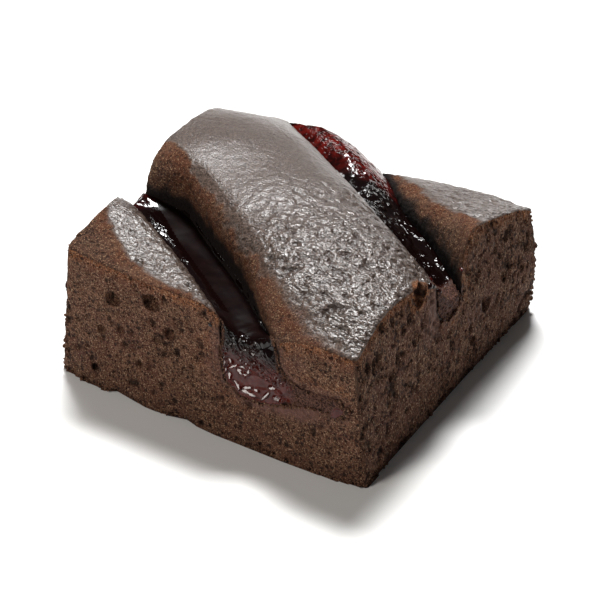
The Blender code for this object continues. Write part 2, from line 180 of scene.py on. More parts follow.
class BrownieSponge(bpy.types.PropertyGroup):
    cell: bpy.props.FloatProperty(
        name="Mesh cell", description="Size of one face of the sponge's mesh, in millimetres", default=0.42, min=0.3
    )
    fine_pores: bpy.props.IntProperty(
        name="Fine pores", description="How many fine pores the four cuts show", default=1500
    )
    open_pores: bpy.props.IntProperty(
        name="Open pores", description="How many wider pores the four cuts show", default=230
    )
    grain: bpy.props.FloatProperty(
        name="Grain", description="How far the crumb's grains stand out, in millimetres", default=0.2
    )
    wrinkle: bpy.props.FloatProperty(
        name="Wrinkle", description="How deep the baked skin is wrinkled, in millimetres", default=0.22
    )
    crumb_colour: bpy.props.StringProperty(
        name="Crumb", description="Colour of the crumb, as a hex value", default="#6c4a37"
    )
    crust_colour: bpy.props.StringProperty(
        name="Crust", description="Colour of the crumb just under the skin, as a hex value", default="#96603c"
    )
    skin_colour: bpy.props.StringProperty(
        name="Skin", description="Colour of the baked skin, as a hex value", default="#5e4e45"
    )


class BrownieCrumbs(bpy.types.PropertyGroup):
    foot_crumbs: bpy.props.IntProperty(
        name="At the foot", description="How many crumbs cling along the foot of the cuts", default=420
    )
    edge_crumbs: bpy.props.IntProperty(
        name="On the upright edges", description="How many crumbs cling to the four upright edges", default=170
    )
    far_edge_crumbs: bpy.props.IntProperty(
        name="On the right edge", description="How many larger crumbs cling to the ragged right edge", default=110
    )
    rim_crumbs: bpy.props.IntProperty(
        name="Along the crust", description="How many crumbs stand along the edge of the skin", default=420
    )
    face_crumbs: bpy.props.IntProperty(
        name="On the cuts", description="How many fine crumbs cling to the faces of the cuts", default=900
    )
    smear_crumbs: bpy.props.IntProperty(
        name="On the smears", default=1500, description="How many crumbs the knife carried over the jam's edges"
    )
    seam_crumbs: bpy.props.IntProperty(
        name="Round the right jam", default=160,
        description="How many crumbs lie along the jam's edge on the right cut"
    )


class BrownieJam(bpy.types.PropertyGroup):
    cell: bpy.props.FloatProperty(
        name="Mesh cell", description="Size of one face of the jam's mesh, in millimetres", default=0.3, min=0.2
    )
    swell: bpy.props.FloatProperty(
        name="Swell", description="How far the jam is swollen to meet the sponge, in millimetres", default=0.5
    )
    ripple: bpy.props.FloatProperty(
        name="Ripple", description="How high the ripples of the jam stand, in millimetres", default=0.1
    )
    front_wave: bpy.props.FloatProperty(
        name="Cut face waves", default=0.5,
        description="How high the jam's waves stand on the front cut, in millimetres"
    )
    deep_colour: bpy.props.StringProperty(
        name="Deep jam", description="Colour of the jam where it is thick, as a hex value", default="#0d0404"
    )
    # The red of light coming through thin jam, painted into the jam's colour.
    backlit_colour: bpy.props.StringProperty(
        name="Thin jam", description="Colour of the jam where light comes through, as a hex value", default="#5c120d"
    )
    smeared_colour: bpy.props.StringProperty(
        name="Smeared jam", description="Colour of the jam that the knife smeared, as a hex value", default="#4c160f"
    )


class BrownieStage(bpy.types.PropertyGroup):
    azimuth: bpy.props.FloatProperty(
        name="Azimuth", description="Turn of the camera round the square", default=math.radians(31.54), subtype="ANGLE"
    )
    elevation: bpy.props.FloatProperty(
        name="Elevation", description="Height angle of the camera", default=math.radians(35.98), subtype="ANGLE"
    )
    place: bpy.props.FloatVectorProperty(
        name="Camera place", description="Where the camera stands", default=(0.1901, -0.30984, 0.27348),
        subtype="TRANSLATION", unit="LENGTH"
    )
    lens: bpy.props.FloatProperty(
        name="Lens", description="Focal length on a sensor 36 mm wide, in millimetres", default=132.0
    )
    floor_colour: bpy.props.StringProperty(
        name="Floor", description="Colour of the plain floor, as a hex value", default="#f4f4f3"
    )


def linear(code):
    """A hex colour as linear red, green, blue and alpha."""
    values = []
    for start in (1, 3, 5):
        value = int(code[start:start + 2], 16) / 255.0
        values.append(value / 12.92 if value <= 0.04045 else ((value + 0.055) / 1.055) ** 2.4)
    return (*values, 1.0)


def add_node(tree, kind, inputs=None, output=0, **settings):
    """Adds a shader node with its settings and its inputs, each a value or another node's output. Gives one
    of its own outputs."""
    node = tree.nodes.new("ShaderNode" + kind)
    for name, value in settings.items():
        setattr(node, name, value)
    for name, value in (inputs or {}).items():
        if isinstance(value, bpy.types.NodeSocket):
            tree.links.new(value, node.inputs[name])
        else:
            node.inputs[name].default_value = value
    return node.outputs[output] if node.outputs else node


def new_material(name):
    """An empty material with its node tree."""
    surface = bpy.data.materials.new(name)
    surface.use_nodes = True
    surface.node_tree.nodes.clear()
    return surface, surface.node_tree


def lay_over(tree, colour, layers):
    """Lays colours over a first one. Each layer is the value that shows it, where that starts and ends, how
    strong the layer is there, and its colour."""
    for value, start, end, strength, code in layers:
        share = add_node(tree, "MapRange", {0: value, 1: start, 2: end, 3: 0.0, 4: strength})
        colour = add_node(tree, "Mix", {0: share, 6: colour, 7: linear(code)}, 2, data_type="RGBA")
    return colour


def per_metre(size):
    """How many cells of this size, in millimetres, lie in a metre."""
    return 1.0 / (size * MM)


def smooth(start, end, values):
    """Rises smoothly from 0 at start to 1 at end, for an array."""
    share = np.clip((values - start) / (end - start), 0.0, 1.0)
    return share * share * (3.0 - 2.0 * share)


def most(*shares):
    """The greatest of several shares at each point."""
    return np.maximum.reduce(shares)


def run_at(run, values):
    """The value of a run of pairs at each of the values."""
    return np.interp(values, *zip(*run))


def deselect():
    """Leaves edit mode and selects nothing."""
    if bpy.context.object and bpy.context.object.mode != "OBJECT":
        bpy.ops.object.mode_set(mode="OBJECT")
    bpy.ops.object.select_all(action="DESELECT")


def select_only(piece):
    """Selects one piece alone, so that operators act on it."""
    deselect()
    piece.select_set(True)
    bpy.context.view_layer.objects.active = piece


def open_with(piece, wanted):
    """Opens a piece in edit mode with only its wanted faces selected."""
    select_only(piece)
    bpy.ops.object.mode_set(mode="EDIT")
    bpy.ops.mesh.select_mode(type="FACE")
    bpy.ops.mesh.select_all(action="DESELECT")
    bpy.ops.object.mode_set(mode="OBJECT")
    for face in piece.data.polygons:
        face.select = wanted(face)
    bpy.ops.object.mode_set(mode="EDIT")


def new_object(name, data):
    """A new object with its data, in the scene."""
    item = bpy.data.objects.new(name, data)
    bpy.context.scene.collection.objects.link(item)
    return item


def copy_of(node, name):
    """A copy of a solid's mesh as a new piece, with its loose triangles merged."""
    piece = new_object(name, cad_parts[node].data.copy())
    piece.data.name = name
    piece.data.materials.clear()
    select_only(piece)
    bpy.ops.object.mode_set(mode="EDIT")
    bpy.ops.mesh.select_all(action="SELECT")
    bpy.ops.mesh.remove_doubles(threshold=0.000001)
    bpy.ops.object.mode_set(mode="OBJECT")
    return piece


def apply_all(piece):
    """Applies a piece's modifiers in their order."""
    select_only(piece)
    for modifier in list(piece.modifiers):
        bpy.ops.object.modifier_apply(modifier=modifier.name)


def remesh(piece, cell):
    """Rebuilds a piece's mesh as one closed skin of even faces."""
    change = piece.modifiers.new("Even mesh", "REMESH")
    change.mode = "VOXEL"
    change.voxel_size = cell * MM
    change.adaptivity = 0.0
    change.use_smooth_shade = True
    apply_all(piece)


def points_of(piece):
    """A piece's points as an array, in metres."""
    co = np.empty(len(piece.data.vertices) * 3)
    piece.data.vertices.foreach_get("co", co)
    return co.reshape(-1, 3)


def normals_of(piece):
    """The way that a piece's surface faces at each point."""
    normals = np.empty(len(piece.data.vertices) * 3)
    piece.data.vertices.foreach_get("normal", normals)
    return normals.reshape(-1, 3)


def move_points(piece, points):
    """Gives a piece's points new places, kept inside the solids' box."""
    piece.data.vertices.foreach_set("co", np.clip(points, LOW, HIGH).ravel())
    piece.data.update()


def store(piece, **marks):
    """Keeps numbers for each point under their names, for the material to read."""
    for name, values in marks.items():
        attribute = piece.data.attributes.new(name, "FLOAT", "POINT")
        attribute.data.foreach_set("value", np.clip(values, 0.0, 1.0).astype(np.float32))


def read(piece, name):
    """The numbers that store kept under a name, or zeros."""
    values = np.zeros(len(piece.data.vertices), np.float32)
    if name in piece.data.attributes:
        piece.data.attributes[name].data.foreach_get("value", values)
    return values


def tree_of(piece, faces=None):
    """A search tree over a piece's faces, or over some of them."""
    corners = [vertex.co.copy() for vertex in piece.data.vertices]
    polygons = [tuple(face.vertices) for face in piece.data.polygons if faces is None or faces[face.index]]
    return BVHTree.FromPolygons(corners, polygons)


def near(tree, points, reach):
    """For each point, how far the tree's surface is in millimetres, and the number of its nearest face."""
    distances = np.full(len(points), reach)
    faces = np.full(len(points), -1, int)
    for number, point in enumerate(points):
        _, _, face, distance = tree.find_nearest(Vector(point), reach * MM)
        if face is not None:
            distances[number] = distance / MM
            faces[number] = face
    return distances, faces


def waves(points, stretch, seed, turned=False):
    """A smooth random wave at each point, with the size of its cells along three axes in millimetres.
    Turned waves follow the loaves instead of X and Y."""
    scaled = points / MM
    if turned:
        scaled = np.column_stack((scaled @ ALONG, scaled @ ACROSS, scaled[:, 2]))
    scaled = scaled / np.array(stretch) + seed * 7.3
    return np.array([noise.noise(Vector(point)) for point in scaled])


def patch(points, middle, size):
    """1 in the middle of a soft patch, fading out at its size, both in millimetres along X, Y and Z."""
    away = (points / MM - np.array(middle)) / np.array(size)
    return np.exp(-(away ** 2).sum(axis=1))


def inside_cut(cut, point):
    """How far a point, in millimetres, lies inside a cut's leaning plane."""
    out, distance, direction, half, leans = CUTS[cut]
    share = min(max(0.5 + 0.5 * point.dot(direction) / half, 0.0), 1.0)
    lean = leans[0] + (leans[1] - leans[0]) * share
    return distance - lean * point.z / LEAN_HEIGHT - point.dot(out)


def is_wall(point, facing):
    """Whether a face of the solid belongs to one of the four cuts, or to the corner between two."""
    at = [cut for cut in CUTS if inside_cut(cut, point) < CUT_DEPTH]
    if len(at) > 1 and abs(facing.z) < 0.3:
        return True
    return any(facing.dot(CUTS[cut][0]) > 0.9 for cut in at)


def sort_faces(piece):
    """Tells the faces of the sponge's solid apart: baked skin, cut, or underside. The skin starts from level
    faces well inside the square and spreads over every edge that isn't sharp, up to the cuts."""
    shape = bmesh.new()
    shape.from_mesh(piece.data)
    shape.faces.ensure_lookup_table()
    kinds = [CUT] * len(shape.faces)
    walls = [is_wall(face.calc_center_median() / MM, face.normal) for face in shape.faces]
    waiting = []
    for face in shape.faces:
        middle = face.calc_center_median() / MM
        inside = max(abs(middle.x), abs(middle.y)) < 29.0
        if inside and face.normal.z > 0.8 and middle.z > 27.0:
            kinds[face.index] = SKIN
            waiting.append(face)
        elif face.normal.z < -0.99 and middle.z < 0.1:
            kinds[face.index] = BASE
    while waiting:
        face = waiting.pop()
        for edge in face.edges:
            for other in edge.link_faces:
                if kinds[other.index] != CUT or walls[other.index] or edge.calc_face_angle(0.0) > SKIN_LIMIT:
                    continue
                kinds[other.index] = SKIN
                waiting.append(other)
    shape.free()
    return np.array(kinds)


def thin_hidden(piece, jam_trees):
    """Takes most faces out of the flat underside and of the troughs' walls under the jam, which nothing shows."""
    def hidden(face):
        """Whether a face lies on the underside, or against the jam inside the square."""
        if face.center.z < 0.5 * MM and face.normal.z < -0.98:
            return True
        inside = max(abs(face.center.x), abs(face.center.y)) < HIDDEN_HALF * MM
        return inside and any(tree.find_nearest(face.center, HIDDEN_REACH * MM)[2] is not None for tree in jam_trees)

    open_with(piece, hidden)
    bpy.ops.mesh.decimate(ratio=HIDDEN_SHARE)
    bpy.ops.object.mode_set(mode="OBJECT")


def pore_list(settings, places, facings):
    """Seeded pores on the cuts: (place, radius in millimetres, how much taller than wide). The right cut has
    more of them, and taller ones."""
    draw = random.Random(41)
    pores = []
    groups = ((settings.fine_pores, FINE_RADII), (settings.open_pores, OPEN_RADII))
    for count, (small, large) in groups:
        while count:
            number = draw.randrange(len(places))
            right = max(facings[number][0], 0.0)
            if draw.random() > 0.45 + 0.55 * right:
                continue
            radius = small + (large - small) * draw.random() ** 2
            tall = 1.0 + 0.9 * right * draw.random() + 0.2 * draw.random()
            pores.append((places[number], radius, tall))
            count -= 1
    return pores


def sink_pores(points, allowed, pores):
    """How deep each point lies in the pores, in millimetres."""
    depth = np.zeros(len(points))
    tree = KDTree(len(points))
    for number, point in enumerate(points):
        tree.insert(point, number)
    tree.balance()
    for turn, (place, radius, tall) in enumerate(pores):
        wobble = Vector((turn * 0.37, turn * 0.11, 0.0))
        for point, number, _ in tree.find_range(place, 1.3 * radius * tall * MM):
            if not allowed[number]:
                continue
            away = (point - Vector(place)) / MM
            away.z /= tall
            ragged = radius * (1.0 + 0.35 * noise.noise(away / (0.8 * radius) + wobble))
            share = away.length / ragged
            if share < 1.0:
                bowl = math.sqrt(1.0 - share * share)
                depth[number] = max(depth[number], 1.05 * radius * bowl * min(1.0, 2.2 * bowl))
    return depth


def away_from(points, place):
    """How far each point lies from a place, both measured in millimetres."""
    return np.linalg.norm(points / MM - np.array(place), axis=1)


def bite(points, middle, radius, seed):
    """Pushes the points round a place out to a ragged ball, as where a crumb has broken off."""
    away = points / MM - np.array(middle)
    reach = np.linalg.norm(away, axis=1)
    close = reach < 1.6 * radius
    ball = radius * (1.0 + 0.35 * waves(points[close], (0.9, 0.9, 0.9), seed))
    push = np.maximum(ball / np.maximum(reach[close], 0.05), 1.0)
    points[close] = (np.array(middle) + away[close] * push[:, None]) * MM


def film_share(points, normals):
    """How much of the satin film covers each point of the skin, and how much of the brown band along it."""
    s, t = points @ ALONG / MM, points @ ACROSS / MM
    ragged = 1.3 * waves(points, (4.0, 4.0, 4.0), 8.0) + 0.7 * waves(points, (1.3, 1.3, 1.3), 9.0)
    soft = np.interp(s, (-10.0, 14.0, 30.0), (0.5, 1.2, 3.0))
    edge_left = points[:, 1] / MM - run_at(FILM_LEFT, points[:, 0] / MM) + ragged
    edge_middle = (t - run_at(FILM_MIDDLE, s) + ragged) / soft
    edge_right = t - run_at(FILM_RIGHT, s) + ragged
    left, right = t < LEFT_LOAF_END, t > RIGHT_LOAF_START
    edge = np.where(left, edge_left, np.where(right, edge_right, edge_middle))
    upright = smooth(0.12, 0.42, normals[:, 2])
    band = np.exp(-((edge * np.where(left | right, 1.0, soft) + 1.6) / 2.2) ** 2)
    return upright * smooth(-0.8, 0.8, edge), band


def build_sponge(settings):
    """The sponge: an even mesh of its solid, with open crumb on the cuts and a wrinkled skin on top."""
    piece = copy_of("sponge", "chocolate_sponge")
    kinds = sort_faces(piece)
    solid = tree_of(piece)
    skin_tree = tree_of(piece, kinds == SKIN)
    jam_trees = [tree_of(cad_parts[node]) for node in ("jam_left", "jam_right")]
    remesh(piece, settings.cell)
    thin_hidden(piece, jam_trees)
    points = points_of(piece)
    normals = normals_of(piece)
    _, faces = near(solid, points, 2.0)
    kind = kinds[faces]
    skin_away, _ = near(skin_tree, points, 8.0)
    left_away, right_away = [near(tree, points, 9.0)[0] for tree in jam_trees]
    jam_away = np.minimum(left_away, right_away)
    s, t = points @ ALONG / MM, points @ ACROSS / MM
    is_skin = smooth(0.35, 0.05, skin_away) * (kind != BASE)
    film, band = film_share(points, normals)
    for place, radius in EDGE_BUBBLES:
        share = away_from(points, place) / radius
        film *= smooth(1.2, 1.5, share)
        is_skin *= smooth(1.1, 1.4, share)
    wrinkled = np.maximum(smooth(-14.0, 22.0, s), 0.75 * (t < LEFT_LOAF_END)) * film

    # The pores, the bubble's orange ring, and the relief. How deep each point lies in a pore, and the bubble's shaded
    # upper side, are kept as hollow, which the material paints dark as shade.
    open_cut = (kind == CUT) & (jam_away > 0.5) & (skin_away > 0.3)
    starts = np.flatnonzero(open_cut & (np.abs(normals[:, 2]) < 0.5) & (jam_away > 0.8) & (skin_away > 0.6))
    hollow = sink_pores(points, open_cut, pore_list(settings, points[starts], normals[starts]))
    ring = np.zeros(len(points))
    for place, radius in EDGE_BUBBLES:
        share = away_from(points, place) / radius
        hollow = np.where(share < 1.3, 0.0, hollow)
        ring = np.maximum(ring, smooth(1.7, 1.3, share))
    cut_share = (1.0 - is_skin) * (kind != BASE)
    seam = np.exp(-(jam_away / 0.6) ** 2) * cut_share
    grain = np.abs(waves(points, (0.8, 0.8, 1.1), 1.0)) + 0.6 * waves(points, (2.2, 2.2, 3.2), 2.0)
    ruffle = 0.7 * waves(points, (2.0, 0.9, 1.4), 3.0) + waves(points, (1.0, 0.9, 1.0), 4.0)
    dents = smooth(0.22, 0.5, -waves(points, (2.4, 1.5, 2.0), 10.0)) * wrinkled
    wall_grain = waves(points, (1.0, 1.0, 1.0), 5.0) * (1.0 - film) * is_skin
    foot = smooth(2.4, 0.2, points[:, 2] / MM) * cut_share * smooth(-0.1, 0.4, waves(points, (3.0, 3.0, 9.0), 31.0))
    offset = -hollow - settings.grain * cut_share * (0.5 + grain) - DENT_DEPTH * dents * is_skin
    offset += settings.wrinkle * is_skin * ruffle * (0.3 + wrinkled) + WALL_GRAIN * wall_grain
    offset += SEAM_LIFT * seam - FOOT_WEAR * foot
    moved = points + normals * offset[:, None] * MM
    for number, (x, radius) in enumerate(FOOT_BITES):
        bite(moved, (x, *BITE_LINE), radius, 20.0 + number)
    # The bubble's upper inside, under its overhang, is added to hollow and so painted dark as shade.
    for number, (place, radius) in enumerate(EDGE_BUBBLES):
        before = moved.copy()
        bite(moved, place, radius, 40.0 + number)
        shade = smooth(1.0, -0.6, (points / MM - np.array(place)) @ (0.0, 0.7, 0.7) / radius)
        hollow = np.maximum(hollow, 0.8 * shade * np.linalg.norm(moved - before, axis=1) / MM)
    move_points(piece, moved)

    # What the jam soaked, with painted shade up the trough walls, and what the knife smeared.
    # On the trough walls this dark reaches far up as painted shade; on the cuts it is a narrow edge soaked with jam.
    soak_reach = np.where(t < 0.0, run_at(SOAK_SHADE_LEFT, s), np.where(t > RIGHT_LOAF_START, run_at(SOAK_SHADE_RIGHT, s), 0.7))
    soak_reach = np.where(is_skin > 0.5, soak_reach, 0.35) * (1.0 + 0.5 * waves(points, (2.4, 2.4, 2.4), 11.0))
    ragged = 1.0 + 0.7 * waves(points, (1.8, 1.8, 1.8), 12.0)
    smeared = sum(strength * patch(points, middle, size) for middle, size, strength in SMEARS)
    smeared = np.maximum(smeared, 0.85 * np.exp(-(jam_away / (1.5 * ragged)) ** 2) * cut_share)
    smeared *= 1.0 + 0.6 * waves(points, (1.6, 1.6, 2.6), 13.0)
    crust = np.exp(-(skin_away / (2.0 * ragged)) ** 2) * (1.0 - is_skin) * smooth(0.8, 3.2, jam_away)
    store(
        piece,
        seam=seam,
        skin=is_skin,
        film=film,
        wrinkled=wrinkled,
        band=band * (1.0 - film),
        crust=np.maximum(crust, ring),
        hollow=hollow,
        dent=dents,
        soak=np.exp(-(jam_away / np.maximum(soak_reach, 0.3)) ** 4),
        smeared=smeared,
        tall=smooth(0.5, 0.8, np.abs(normals[:, 0])) * (1.0 - is_skin),
    )
    piece.data.materials.append(sponge_material(settings))
    select_only(piece)
    bpy.ops.object.shade_smooth()
    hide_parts("sponge")
    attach(piece, "root")


def sponge_material(settings):
    """Baked chocolate sponge. The open crumb is matt and speckled, with pits between its grains that are painted dark
    as shade and light specks that are painted glints; the skin is a thin satin film that the oven glazed on the tops,
    with painted shade in its wrinkles, and the walls beside the jam stayed matt and are painted near black next to the
    jam, as shade with some soaking."""
    surface, tree = new_material("baked chocolate sponge")
    marks = ("skin", "film", "wrinkled", "band", "crust", "hollow", "dent", "soak", "smeared", "tall")
    mark = {name: add_node(tree, "Attribute", output="Fac", attribute_name=name) for name in marks}
    place = add_node(tree, "TexCoord", output="Object")
    shader = add_node(tree, "BsdfPrincipled").node
    add_node(tree, "OutputMaterial", {"Surface": shader.outputs[0]})

    # Crumb patterns are drawn out upwards on the right and left cuts, where the sponge rose.
    upwards = add_node(tree, "Mapping", {"Vector": place, "Scale": (1.0, 1.0, 0.55)})
    drawn = add_node(tree, "Mix", {0: mark["tall"], 4: place, 5: upwards}, 1, data_type="VECTOR")
    bend = add_node(tree, "TexNoise", {"Vector": drawn, "Scale": per_metre(0.9), "Detail": 2.0}, "Color")
    bent = add_node(tree, "VectorMath", {0: bend, 1: (0.6 * MM,) * 3, 2: drawn}, operation="MULTIPLY_ADD")
    fine = add_node(tree, "TexNoise", {"Vector": drawn, "Scale": per_metre(0.36), "Detail": 3.0, "Roughness": 0.65})
    grains = add_node(tree, "TexNoise", {"Vector": drawn, "Scale": per_metre(0.8), "Detail": 2.0})
    # Light specks laid over the crumb and the walls: painted glints of the crumb's tiny facets.
    glint_specks = add_node(tree, "TexNoise", {"Vector": drawn, "Scale": per_metre(0.27), "Detail": 1.0})
    broad = add_node(tree, "TexNoise", {"Vector": place, "Scale": per_metre(6.0), "Detail": 2.0})

    # Pits between the grains, of two sizes, each in some of the cells of its pattern. The bump sinks them, and the
    # colour paints them dark as painted shade.
    dips = []
    for size, share in ((0.6, 0.4), (1.15, 0.3)):
        cells = add_node(tree, "TexVoronoi", {"Vector": bent, "Scale": per_metre(size), "Randomness": 1.0})
        dip = add_node(tree, "MapRange", {0: cells, 1: 0.42, 2: 0.24, 3: 0.0, 4: 1.0}, interpolation_type="SMOOTHSTEP")
        chosen = add_node(tree, "SeparateColor", {0: cells.node.outputs["Color"]})
        chosen = add_node(tree, "Math", {0: chosen, 1: share}, operation="LESS_THAN")
        dips.append(add_node(tree, "Math", {0: dip, 1: chosen}, operation="MULTIPLY"))
    pit = add_node(tree, "Math", {0: dips[0], 1: dips[1]}, operation="MAXIMUM")

    # The open crumb. Its pores and pits are painted dark as shade, its light specks are painted glints, and along the
    # jam it is darkened by soaking.
    grade = add_node(tree, "MapRange", {0: fine, 1: 0.39, 2: 0.61, 3: 0.0, 4: 1.0})
    inputs = {0: grade, 6: linear("#2a170e"), 7: linear(settings.crumb_colour)}
    crumb = add_node(tree, "Mix", inputs, 2, data_type="RGBA")
    inputs = {0: grade, 6: linear("#42200e"), 7: linear(settings.crust_colour)}
    crust = add_node(tree, "Mix", inputs, 2, data_type="RGBA")
    crumb = add_node(tree, "Mix", {0: mark["crust"], 6: crumb, 7: crust}, 2, data_type="RGBA")
    layers = (
        (grains, 0.56, 0.7, 0.45, "#86644f"), (broad, 0.42, 0.6, 0.4, "#4c2a20"), (glint_specks, 0.6, 0.68, 0.7, "#a98a6f"),
        (pit, 0.0, 1.0, 0.8, "#190c06"), (mark["hollow"], 0.05, 0.6, 0.8, "#190c06"),
        (mark["smeared"], 0.1, 0.9, 0.7, "#5f3f37"), (mark["soak"], 0.0, 1.0, 0.75, "#3a1915"),
    )
    crumb = lay_over(tree, crumb, layers)

    # The matt walls beside the jam. Next to the jam they are painted near black as the troughs' shade, their pits are
    # painted shade, and their light specks are painted glints.
    wall = add_node(tree, "Mix", {0: grade, 6: linear("#24130b"), 7: linear("#573828")}, 2, data_type="RGBA")
    layers = (
        (mark["band"], 0.1, 1.0, 0.55, "#5a3019"), (broad, 0.45, 0.65, 0.35, "#5a4334"),
        (glint_specks, 0.6, 0.68, 0.6, "#a58768"), (pit, 0.0, 1.0, 0.5, "#190c06"),
        (mark["soak"], 0.1, 0.95, 0.97, "#0b0504"),
    )
    wall = lay_over(tree, wall, layers)

    # The film is crossed by fine wrinkles, drawn as coarse as they need to be to glitter in the render. Their grooves
    # and the dents are painted dark brown, as painted shade.
    film_fine = add_node(tree, "TexNoise", {"Vector": place, "Scale": per_metre(0.34), "Detail": 2.0})
    turned = add_node(
        tree, "Mapping", {"Vector": place, "Rotation": (0.0, 0.0, math.radians(16.0)), "Scale": (0.62, 1.0, 1.0)}
    )
    lines = add_node(tree, "TexNoise", {"Vector": turned, "Scale": per_metre(0.46), "Detail": 1.0, "Roughness": 0.5})
    grade = add_node(tree, "MapRange", {0: film_fine, 1: 0.38, 2: 0.58, 3: 0.0, 4: 1.0})
    inputs = {0: grade, 6: linear("#261a14"), 7: linear(settings.skin_colour)}
    film = add_node(tree, "Mix", inputs, 2, data_type="RGBA")
    # Dark colour in the grooves and dents of the film: painted shade in the wrinkles.
    grooves = add_node(tree, "MapRange", {0: lines, 1: 0.48, 2: 0.36, 3: 0.0, 4: 0.9})
    deep = add_node(tree, "MapRange", {0: mark["wrinkled"], 1: 0.0, 2: 1.0, 3: 0.3, 4: 1.0})
    grooves = add_node(tree, "Math", {0: grooves, 1: deep}, operation="MULTIPLY")
    dented = add_node(tree, "Math", {0: mark["dent"], 1: 0.6}, operation="MULTIPLY")
    grooves = add_node(tree, "Math", {0: grooves, 1: dented}, operation="MAXIMUM")
    film = add_node(tree, "Mix", {0: grooves, 6: film, 7: linear("#241710")}, 2, data_type="RGBA")
    top = add_node(tree, "Mix", {0: mark["film"], 6: wall, 7: film}, 2, data_type="RGBA")
    colour = add_node(tree, "Mix", {0: mark["skin"], 6: crumb, 7: top}, 2, data_type="RGBA")
    tree.links.new(colour, shader.inputs["Base Color"])

    # The crumb is matt, the film satin under a thin baked glaze, and what jam soaked is damp.
    film_skin = add_node(tree, "Math", {0: mark["film"], 1: mark["skin"]}, operation="MULTIPLY")
    worn = add_node(tree, "MapRange", {0: film_fine, 1: 0.3, 2: 0.7, 3: 0.38, 4: 0.52})
    rough = add_node(tree, "Mix", {0: film_skin, 2: 0.88, 3: worn}, 0, data_type="FLOAT")
    damp = add_node(tree, "Math", {0: mark["smeared"], 1: 0.6}, operation="MULTIPLY")
    rough = add_node(tree, "Mix", {0: damp, 2: rough, 3: 0.4}, 0, data_type="FLOAT")
    tree.links.new(rough, shader.inputs["Roughness"])
    shader.inputs["Specular IOR Level"].default_value = 0.25
    glaze = add_node(tree, "MapRange", {0: mark["wrinkled"], 1: 0.0, 2: 1.0, 3: 0.72, 4: 1.0})
    glaze = add_node(tree, "Math", {0: film_skin, 1: glaze}, operation="MULTIPLY")
    dull = add_node(tree, "MapRange", {0: grooves, 1: 0.0, 2: 0.7, 3: 1.0, 4: 0.35})
    glaze = add_node(tree, "Math", {0: glaze, 1: dull}, operation="MULTIPLY")
    tree.links.new(glaze, shader.inputs["Coat Weight"])
    shader.inputs["Coat Roughness"].default_value = 0.31
    shader.inputs["Coat IOR"].default_value = 1.5

    # Relief that is finer than the mesh, in millimetres.
    relief = add_node(tree, "Math", {0: fine, 1: 0.26}, operation="MULTIPLY")
    relief = add_node(tree, "Math", {0: grains, 1: 0.3, 2: relief}, operation="MULTIPLY_ADD")
    relief = add_node(tree, "Math", {0: pit, 1: -0.25, 2: relief}, operation="MULTIPLY_ADD")
    calm = add_node(tree, "MapRange", {0: mark["smeared"], 1: 0.3, 2: 1.0, 3: 1.0, 4: 0.5})
    relief = add_node(tree, "Math", {0: relief, 1: calm}, operation="MULTIPLY")
    film_relief = add_node(tree, "MapRange", {0: mark["wrinkled"], 1: 0.0, 2: 1.0, 3: 0.12, 4: 0.06})
    film_relief = add_node(tree, "Math", {0: film_fine, 1: film_relief}, operation="MULTIPLY")
    line_relief = add_node(tree, "MapRange", {0: mark["wrinkled"], 1: 0.0, 2: 1.0, 3: 0.05, 4: 0.3})
    film_relief = add_node(tree, "Math", {0: lines, 1: line_relief, 2: film_relief}, operation="MULTIPLY_ADD")
    height = add_node(tree, "Mix", {0: film_skin, 2: relief, 3: film_relief}, 0, data_type="FLOAT")
    bump = add_node(tree, "Bump", {"Strength": 1.0, "Distance": MM, "Height": height})
    tree.links.new(bump, shader.inputs["Normal"])
    tree.links.new(bump, shader.inputs["Coat Normal"])
    return surface


def roll_front(points, tree):
    """Fills the jam's droop at the front cut, and rounds its edge where it sagged out of the trough."""
    rolled = points.copy()
    for number, point in enumerate(points):
        behind = max(HALF_Y + point[1] / MM, 0.0)
        if behind > 3.0 * FRONT_LIFT_REACH or point[0] > 18.0 * MM:
            continue
        start = Vector((point[0], max(point[1], (0.6 - HALF_Y) * MM), 40.0 * MM))
        top, _, _, _ = tree.ray_cast(start, Vector((0, 0, -1)))
        if top is None:
            continue
        under = (top.z - point[2]) / MM
        if not -1.0 < under < 7.0:
            continue
        lift = FRONT_LIFT * math.exp(-(behind / FRONT_LIFT_REACH) ** 2) * (1.0 - max(under, 0.0) / 7.0)
        across, down = FRONT_ROLL - behind, FRONT_ROLL - max(under, 0.0)
        length = math.hypot(across, down)
        rolled[number, 2] += lift * MM
        if across > 0.0 and down > 0.0 and length > FRONT_ROLL:
            share = FRONT_ROLL / length
            rolled[number, 1] += across * (1.0 - share) * MM
            rolled[number, 2] -= down * (1.0 - share) * MM
    return rolled


def fold_front(flat, height):
    """The height of the jam over its front cut, with the folds set into it, at flat places along X and Z."""
    draw = random.Random(63)
    stretches = [(first, second, FOLD_WIDTH) for line in FOLDS for first, second in zip(line, line[1:])]
    start, end = np.array(DASH_LINE)
    for _ in range(DASHES):
        middle = start + (end - start) * draw.random() + (0.0, draw.gauss(0.0, DASH_STRAY))
        turn, half = math.radians(draw.gauss(DASH_TURN, 14.0)), draw.uniform(0.15, 0.4)
        along = half * np.array((math.cos(turn), math.sin(turn)))
        stretches.append((middle - along, middle + along, DASH_WIDTH))
    for first, second, width in stretches:
        first, run = np.array(first), np.array(second) - np.array(first)
        share = np.clip((flat - first) @ run / (run @ run), 0.0, 1.0)
        away = np.linalg.norm(flat - first - share[:, None] * run, axis=1)
        shelf = FOLD_OUT + (flat - first - 0.5 * run) @ np.array(FOLD_LEAN)
        wide = width * (0.5 + FOLD_TAPER * share * (1.0 - share))
        height += smooth(wide + 0.2, wide, away) * (np.clip(shelf, -0.7, 1.5) - height)
    return height


